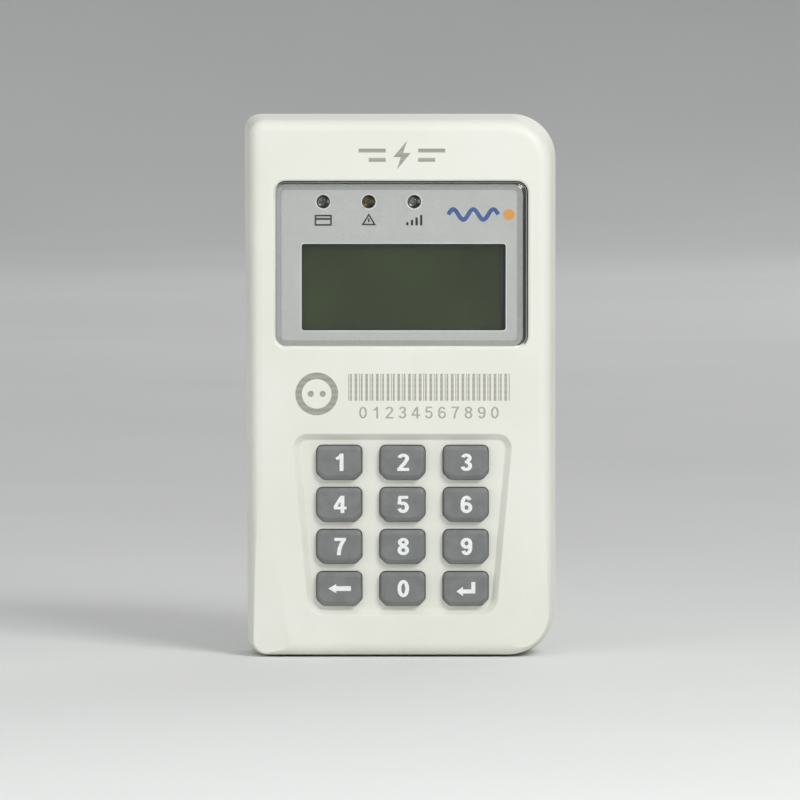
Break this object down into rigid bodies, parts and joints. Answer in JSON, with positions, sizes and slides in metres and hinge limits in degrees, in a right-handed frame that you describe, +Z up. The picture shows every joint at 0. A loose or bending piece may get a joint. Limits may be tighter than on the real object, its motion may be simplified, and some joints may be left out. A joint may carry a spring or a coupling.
{
  "type": "prepaid electricity meter keypad unit",
  "caption": "Hand-sized keypad and display unit of a prepaid electricity meter, with pressing keys, a display window, indicator lamps, a battery bay and a hinged battery door.",
  "frame": {"origin": "on the flat base, at the centre of the unit's width and of its full thickness", "axes": "+X to the right seen from the front, +Z up along the unit's height, the front and the keys face -Y"},
  "size_m": [0.081, 0.0288, 0.141],
  "materials": {
    "case_front_abs": "fine spark-eroded texture",
    "case_rear_abs": "fine spark-eroded texture",
    "window_clear": "polished acrylic, clear",
    "window_silver_print": "silver screen print behind the plate",
    "glue_film": "dark adhesive film",
    "black_foam": "closed-cell foam",
    "display_glass": "dark olive reflective display",
    "black_plastic": "moulded",
    "diffuser_film": "frosted sheet",
    "contact_rubber": "layered contact strip",
    "key_rubber": "satin silicone",
    "carbon_pill": "matt carbon",
    "board_laminate": "green solder mask",
    "chip_epoxy": "moulded epoxy",
    "tinned_can": "tinned sheet",
    "capacitor_sleeve": "shrink sleeve",
    "copper_wire": "enamelled copper",
    "nickel_plate": "nickel plated",
    "zinc_steel": "zinc plated",
    "lamp_epoxy_clear": "clear epoxy lamp",
    "lamp_epoxy_amber": "tinted epoxy lamp",
    "cell_sleeve": "plain printed sleeve"
  },
  "bodies": {
    "case": {"front_cover": "case_front_abs", "rear_cover": "case_rear_abs", "window_plate": "window_clear", "window_print": "window_silver_print", "window_glue": "glue_film", "display_gasket": "black_foam", "display_glass": "display_glass", "display_frame": "black_plastic", "display_diffuser": "diffuser_film", "contact_strip_upper": "contact_rubber", "contact_strip_lower": "contact_rubber", "keypad_mat": "key_rubber", "main_board": "board_laminate", "controller_chip": "chip_epoxy", "clock_crystal": "tinned_can", "storage_capacitor": "capacitor_sleeve", "radio_module": "tinned_can", "antenna_wire": "copper_wire", "buzzer": "black_plastic", "battery_springs": "nickel_plate", "battery_plates": "nickel_plate", "case_screws": "zinc_steel", "board_screws": "zinc_steel", "lamp_left": "lamp_epoxy_clear", "lamp_middle": "lamp_epoxy_amber", "lamp_right": "lamp_epoxy_clear", "battery_left": "cell_sleeve", "battery_middle": "cell_sleeve", "battery_right": "cell_sleeve"},
    "battery_door": {"battery_door": "case_rear_abs"},
    "key_1": {"key_1": "key_rubber", "contact_pill_1": "carbon_pill"},
    "key_2": {"key_2": "key_rubber", "contact_pill_2": "carbon_pill"},
    "key_3": {"key_3": "key_rubber", "contact_pill_3": "carbon_pill"},
    "key_4": {"key_4": "key_rubber", "contact_pill_4": "carbon_pill"},
    "key_5": {"key_5": "key_rubber", "contact_pill_5": "carbon_pill"},
    "key_6": {"key_6": "key_rubber", "contact_pill_6": "carbon_pill"},
    "key_7": {"key_7": "key_rubber", "contact_pill_7": "carbon_pill"},
    "key_8": {"key_8": "key_rubber", "contact_pill_8": "carbon_pill"},
    "key_9": {"key_9": "key_rubber", "contact_pill_9": "carbon_pill"},
    "key_back": {"key_back": "key_rubber", "contact_pill_back": "carbon_pill"},
    "key_0": {"key_0": "key_rubber", "contact_pill_0": "carbon_pill"},
    "key_enter": {"key_enter": "key_rubber", "contact_pill_enter": "carbon_pill"}
  },
  "joints": [
    {"name": "press_1", "type": "slide", "parent": "case", "child": "key_1", "axis": [0, 1, 0], "range_m": [0, 0.001], "stiffness_N_per_m": 600},
    {"name": "press_2", "type": "slide", "parent": "case", "child": "key_2", "axis": [0, 1, 0], "range_m": [0, 0.001], "stiffness_N_per_m": 600},
    {"name": "press_3", "type": "slide", "parent": "case", "child": "key_3", "axis": [0, 1, 0], "range_m": [0, 0.001], "stiffness_N_per_m": 600},
    {"name": "press_4", "type": "slide", "parent": "case", "child": "key_4", "axis": [0, 1, 0], "range_m": [0, 0.001], "stiffness_N_per_m": 600},
    {"name": "press_5", "type": "slide", "parent": "case", "child": "key_5", "axis": [0, 1, 0], "range_m": [0, 0.001], "stiffness_N_per_m": 600},
    {"name": "press_6", "type": "slide", "parent": "case", "child": "key_6", "axis": [0, 1, 0], "range_m": [0, 0.001], "stiffness_N_per_m": 600},
    {"name": "press_7", "type": "slide", "parent": "case", "child": "key_7", "axis": [0, 1, 0], "range_m": [0, 0.001], "stiffness_N_per_m": 600},
    {"name": "press_8", "type": "slide", "parent": "case", "child": "key_8", "axis": [0, 1, 0], "range_m": [0, 0.001], "stiffness_N_per_m": 600},
    {"name": "press_9", "type": "slide", "parent": "case", "child": "key_9", "axis": [0, 1, 0], "range_m": [0, 0.001], "stiffness_N_per_m": 600},
    {"name": "press_back", "type": "slide", "parent": "case", "child": "key_back", "axis": [0, 1, 0], "range_m": [0, 0.001], "stiffness_N_per_m": 600},
    {"name": "press_0", "type": "slide", "parent": "case", "child": "key_0", "axis": [0, 1, 0], "range_m": [0, 0.001], "stiffness_N_per_m": 600},
    {"name": "press_enter", "type": "slide", "parent": "case", "child": "key_enter", "axis": [0, 1, 0], "range_m": [0, 0.001], "stiffness_N_per_m": 600},
    {"name": "door_hinge", "type": "hinge", "parent": "case", "child": "battery_door", "pos_m": [0, 0.013, 0.015], "axis": [-1, 0, 0], "range_deg": [0, 75]}
  ]
}
